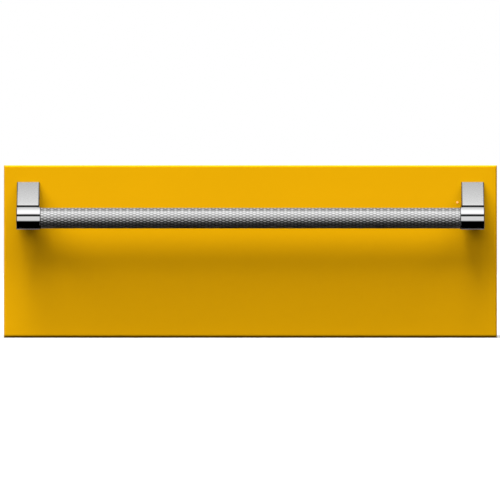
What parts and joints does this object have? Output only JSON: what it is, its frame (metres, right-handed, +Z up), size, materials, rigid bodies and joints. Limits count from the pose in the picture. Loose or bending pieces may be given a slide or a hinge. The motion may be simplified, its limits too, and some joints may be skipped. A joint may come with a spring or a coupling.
{
  "type": "built-in warming drawer",
  "caption": "Built-in electric warming drawer with a flush enamelled front, a round knurled bar handle on sloping brackets, and a full-extension pan on ball slides.",
  "frame": {"origin": "on the floor of the cabinet cut-out, in the plane of the cabinet's face, midway between its sides", "axes": "+X to the right as seen from the front, +Y back into the cabinet, +Z up; the drawer opens along -Y"},
  "size_m": [0.759, 0.7098, 0.2653],
  "materials": {
    "yellow_enamel": "smooth satin-gloss enamel",
    "bright_steel": "polished steel",
    "knurled_steel": "knurled and polished",
    "stainless": "brushed stainless sheet",
    "galvanised": "galvanised sheet",
    "zinc_plated": "zinc plated",
    "screw_steel": "plated screws",
    "element_sheath": "oxidised heater sheath",
    "insulation": "mineral fibre blanket",
    "seal": "woven black seal",
    "bumper_rubber": "soft rubber",
    "ceramic": "white ceramic",
    "black_gloss": "gloss black",
    "black_matte": "matt black",
    "key_grey": "matt grey keys",
    "window_tint": "dark tinted window",
    "circuit_board": "green board",
    "lens": "clear amber lens"
  },
  "bodies": {
    "chassis": {"outer_case": "galvanised", "case_top_cover": "galvanised", "case_back_panel": "galvanised", "face_frame": "stainless", "face_frame_screws": "screw_steel", "case_screws": "screw_steel", "anti_tip_bracket": "galvanised", "cavity_liner": "stainless", "insulation_wrap": "insulation", "insulation_floor": "insulation", "insulation_rear": "insulation", "rear_bulkhead": "galvanised", "heating_element": "element_sheath", "element_supports": "stainless", "element_bushings": "ceramic", "temperature_probe": "stainless", "thermal_cutout": "black_matte", "power_board": "circuit_board", "terminal_block": "black_matte", "cord_bushing": "black_matte", "slide_rivets": "screw_steel", "slide_outer_left": "zinc_plated", "slide_outer_right": "zinc_plated"},
    "drawer": {"slide_inner_left": "zinc_plated", "slide_inner_right": "zinc_plated", "drawer_side_left": "stainless", "drawer_side_right": "stainless", "drawer_back": "stainless", "drawer_front_rail": "stainless", "drawer_pan": "stainless", "drawer_fixings": "screw_steel", "front_skin": "yellow_enamel", "inner_front_panel": "stainless", "front_insulation": "insulation", "front_gasket": "seal", "bumpers": "bumper_rubber", "control_fascia": "black_gloss", "control_housing": "black_matte", "control_board": "circuit_board", "display_window": "window_tint", "vent_guides": "stainless", "indicator_light": "lens", "indicator_holder": "black_matte", "handle_bar": "knurled_steel", "handle_bracket_left": "bright_steel", "handle_bracket_right": "bright_steel", "handle_backing_plates": "screw_steel", "handle_screws": "screw_steel"},
    "slide_middles": {"slide_middle_left": "zinc_plated", "slide_middle_right": "zinc_plated"},
    "cages_outer": {"ball_cages_outer": "zinc_plated"},
    "cages_inner": {"ball_cages_inner": "zinc_plated"},
    "vent_slider": {"vent_slider": "stainless"},
    "key_power": {"key_power": "key_grey"},
    "key_low": {"key_low": "key_grey"},
    "key_medium": {"key_medium": "key_grey"},
    "key_high": {"key_high": "key_grey"},
    "key_proof": {"key_proof": "key_grey"},
    "key_timer": {"key_timer": "key_grey"}
  },
  "joints": [
    {"name": "drawer_slide", "type": "slide", "parent": "chassis", "child": "drawer", "axis": [0, -1, 0], "range_m": [0, 0.44]},
    {"name": "middles_slide", "type": "slide", "parent": "chassis", "child": "slide_middles", "axis": [0, -1, 0], "range_m": [0, 0.22]},
    {"name": "outer_cages_roll", "type": "slide", "parent": "chassis", "child": "cages_outer", "axis": [0, -1, 0], "range_m": [0, 0.11]},
    {"name": "inner_cages_roll", "type": "slide", "parent": "chassis", "child": "cages_inner", "axis": [0, -1, 0], "range_m": [0, 0.33]},
    {"name": "vent_slide", "type": "slide", "parent": "drawer", "child": "vent_slider", "axis": [1, 0, 0], "range_m": [0, 0.012]},
    {"name": "key_power_press", "type": "slide", "parent": "drawer", "child": "key_power", "axis": [0, 0, -1], "range_m": [0, 0.0008], "stiffness_N_per_m": 2500},
    {"name": "key_low_press", "type": "slide", "parent": "drawer", "child": "key_low", "axis": [0, 0, -1], "range_m": [0, 0.0008], "stiffness_N_per_m": 2500},
    {"name": "key_medium_press", "type": "slide", "parent": "drawer", "child": "key_medium", "axis": [0, 0, -1], "range_m": [0, 0.0008], "stiffness_N_per_m": 2500},
    {"name": "key_high_press", "type": "slide", "parent": "drawer", "child": "key_high", "axis": [0, 0, -1], "range_m": [0, 0.0008], "stiffness_N_per_m": 2500},
    {"name": "key_proof_press", "type": "slide", "parent": "drawer", "child": "key_proof", "axis": [0, 0, -1], "range_m": [0, 0.0008], "stiffness_N_per_m": 2500},
    {"name": "key_timer_press", "type": "slide", "parent": "drawer", "child": "key_timer", "axis": [0, 0, -1], "range_m": [0, 0.0008], "stiffness_N_per_m": 2500}
  ],
  "couplings": [
    {"joint": "middles_slide", "follows": "drawer_slide", "ratio": 0.5},
    {"joint": "outer_cages_roll", "follows": "drawer_slide", "ratio": 0.25},
    {"joint": "inner_cages_roll", "follows": "drawer_slide", "ratio": 0.75}
  ]
}
